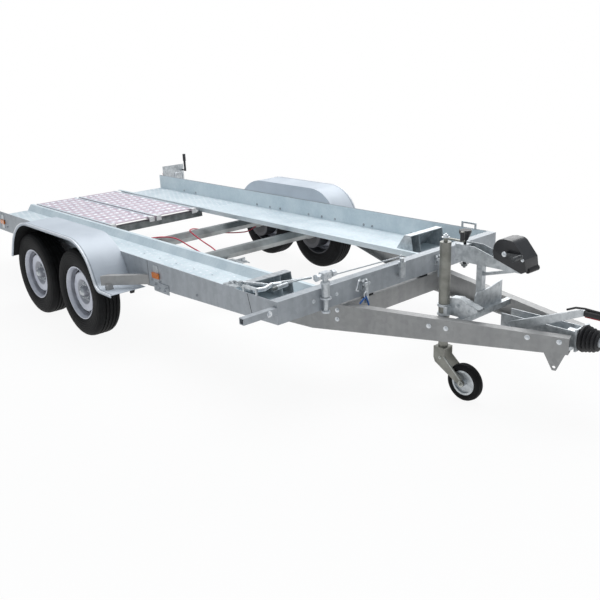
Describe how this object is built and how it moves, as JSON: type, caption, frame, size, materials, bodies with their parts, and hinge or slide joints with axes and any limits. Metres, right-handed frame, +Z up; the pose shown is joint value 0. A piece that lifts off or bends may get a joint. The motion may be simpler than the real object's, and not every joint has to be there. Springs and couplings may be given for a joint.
{
  "type": "tilt car trailer",
  "caption": "Two-axle tilting car trailer: perforated runways, front and cross beams, fenders, V drawbar with overrun coupling, jockey wheel, brake lever and winch.",
  "frame": {"origin": "on the ground, midway between the coupling's front and the rear end of the deck", "axes": "+X forwards to the coupling, +Y to the trailer's left, +Z up"},
  "size_m": [5.48, 2.37, 0.88],
  "materials": {
    "galvanised": "satin",
    "zinc": "satin",
    "fender_steel": "satin",
    "rim_silver": "satin",
    "tyre": "matte",
    "rubber": "matte",
    "black_plastic": "matte",
    "amber": "gloss",
    "red_lens": "gloss",
    "red_cable": "satin"
  },
  "bodies": {
    "deck": {"side_beams": "galvanised", "left_runway": "galvanised", "right_runway": "galvanised", "front_beam": "galvanised", "cross_beams": "galvanised", "loading_ramps": "galvanised", "front_axle": "galvanised", "rear_axle": "galvanised", "brake_linkage": "zinc", "left_brake_cable": "red_cable", "right_brake_cable": "red_cable", "fenders": "fender_steel", "fender_brackets": "galvanised", "side_markers": "amber", "marker_plates": "zinc", "wheel_stops": "zinc", "rear_corner_plates": "galvanised", "rear_lamps": "red_lens", "pivot_brackets": "galvanised", "front_beam_fittings": "zinc", "side_bar": "galvanised", "lashing_loops": "zinc", "lock_linkage": "zinc", "side_lock_rod": "zinc"},
    "drawbar": {"left_drawbar_beam": "galvanised", "right_drawbar_beam": "galvanised", "drawbar_cross_member": "galvanised", "rest_pads": "rubber", "winch_stand": "galvanised", "winch_arm": "galvanised", "winch_cover": "black_plastic", "overrun_channel": "galvanised", "overrun_housing": "zinc", "rubber_bellows": "rubber", "coupling_head": "zinc", "safety_plate": "galvanised", "jockey_clamp": "zinc", "jockey_outer_tube": "zinc"},
    "left_front_wheel_body": {"left_front_tyre": "tyre", "left_front_wheel": "rim_silver"},
    "right_front_wheel_body": {"right_front_tyre": "tyre", "right_front_wheel": "rim_silver"},
    "left_rear_wheel_body": {"left_rear_tyre": "tyre", "left_rear_wheel": "rim_silver"},
    "right_rear_wheel_body": {"right_rear_tyre": "tyre", "right_rear_wheel": "rim_silver"},
    "jockey_mast": {"jockey_inner_tube": "zinc"},
    "jockey_swivel": {"jockey_fork": "zinc"},
    "jockey_roller": {"jockey_tyre": "tyre", "jockey_rim": "zinc"},
    "jockey_screw": {"jockey_crank": "zinc"},
    "lever_body": {"brake_lever": "galvanised", "brake_lever_grip": "rubber"},
    "winch_crank_body": {"winch_crank": "zinc"},
    "arm_knob_body": {"arm_knob": "black_plastic"},
    "lock_screw_body": {"deck_lock_screw": "zinc"},
    "left_latch_body": {"left_latch_lever": "zinc"},
    "right_latch_body": {"right_latch_lever": "zinc"},
    "left_clamp_body": {"left_clamp_handle": "black_plastic"},
    "right_clamp_body": {"right_clamp_handle": "black_plastic"}
  },
  "joints": [
    {"name": "drawbar_tilt", "type": "hinge", "parent": "deck", "child": "drawbar", "pos_m": [-0.08, 0, 0.404], "axis": [0, 1, 0], "range_deg": [0, 12]},
    {"name": "left_front_wheel_spin", "type": "hinge", "parent": "deck", "child": "left_front_wheel_body", "pos_m": [-0.473, 1.0675, 0.2945], "axis": [0, 1, 0], "continuous": true},
    {"name": "right_front_wheel_spin", "type": "hinge", "parent": "deck", "child": "right_front_wheel_body", "pos_m": [-0.473, -1.0675, 0.2945], "axis": [0, 1, 0], "continuous": true},
    {"name": "left_rear_wheel_spin", "type": "hinge", "parent": "deck", "child": "left_rear_wheel_body", "pos_m": [-1.143, 1.0675, 0.2945], "axis": [0, 1, 0], "continuous": true},
    {"name": "right_rear_wheel_spin", "type": "hinge", "parent": "deck", "child": "right_rear_wheel_body", "pos_m": [-1.143, -1.0675, 0.2945], "axis": [0, 1, 0], "continuous": true},
    {"name": "jockey_height", "type": "slide", "parent": "drawbar", "child": "jockey_mast", "axis": [0, 0, 1], "range_m": [-0.1, 0.05]},
    {"name": "jockey_swivel_turn", "type": "hinge", "parent": "jockey_mast", "child": "jockey_swivel", "pos_m": [1.76, -0.215, 0.262], "axis": [0, 0, 1], "continuous": true},
    {"name": "jockey_wheel_spin", "type": "hinge", "parent": "jockey_swivel", "child": "jockey_roller", "pos_m": [1.904, -0.215, 0.1], "axis": [0, 1, 0], "continuous": true},
    {"name": "jockey_crank_turn", "type": "hinge", "parent": "drawbar", "child": "jockey_screw", "pos_m": [1.76, -0.215, 0.82], "axis": [0, 0, 1], "continuous": true},
    {"name": "brake_lever_pull", "type": "hinge", "parent": "drawbar", "child": "lever_body", "pos_m": [2.058, -0.065, 0.401], "axis": [0, -1, 0], "range_deg": [0, 45]},
    {"name": "winch_crank_turn", "type": "hinge", "parent": "drawbar", "child": "winch_crank_body", "pos_m": [2.011, -0.08, 0.767], "axis": [0, 1, 0], "continuous": true},
    {"name": "arm_knob_turn", "type": "hinge", "parent": "drawbar", "child": "arm_knob_body", "pos_m": [1.722, 0, 0.78], "axis": [0, 0, 1], "continuous": true},
    {"name": "deck_lock_turn", "type": "hinge", "parent": "deck", "child": "lock_screw_body", "pos_m": [1.322, -0.628, 0.58], "axis": [0, 0, 1], "continuous": true},
    {"name": "left_latch_swing", "type": "hinge", "parent": "deck", "child": "left_latch_body", "pos_m": [1.319, 0.32, 0.531], "axis": [0, -1, 0], "range_deg": [0, 150]},
    {"name": "right_latch_swing", "type": "hinge", "parent": "deck", "child": "right_latch_body", "pos_m": [1.319, -0.32, 0.531], "axis": [0, -1, 0], "range_deg": [0, 150]},
    {"name": "left_clamp_turn", "type": "hinge", "parent": "deck", "child": "left_clamp_body", "pos_m": [-2.65, 1.15, 0.611], "axis": [1, 0, 0], "continuous": true},
    {"name": "right_clamp_turn", "type": "hinge", "parent": "deck", "child": "right_clamp_body", "pos_m": [-2.65, -1.15, 0.611], "axis": [1, 0, 0], "continuous": true}
  ]
}
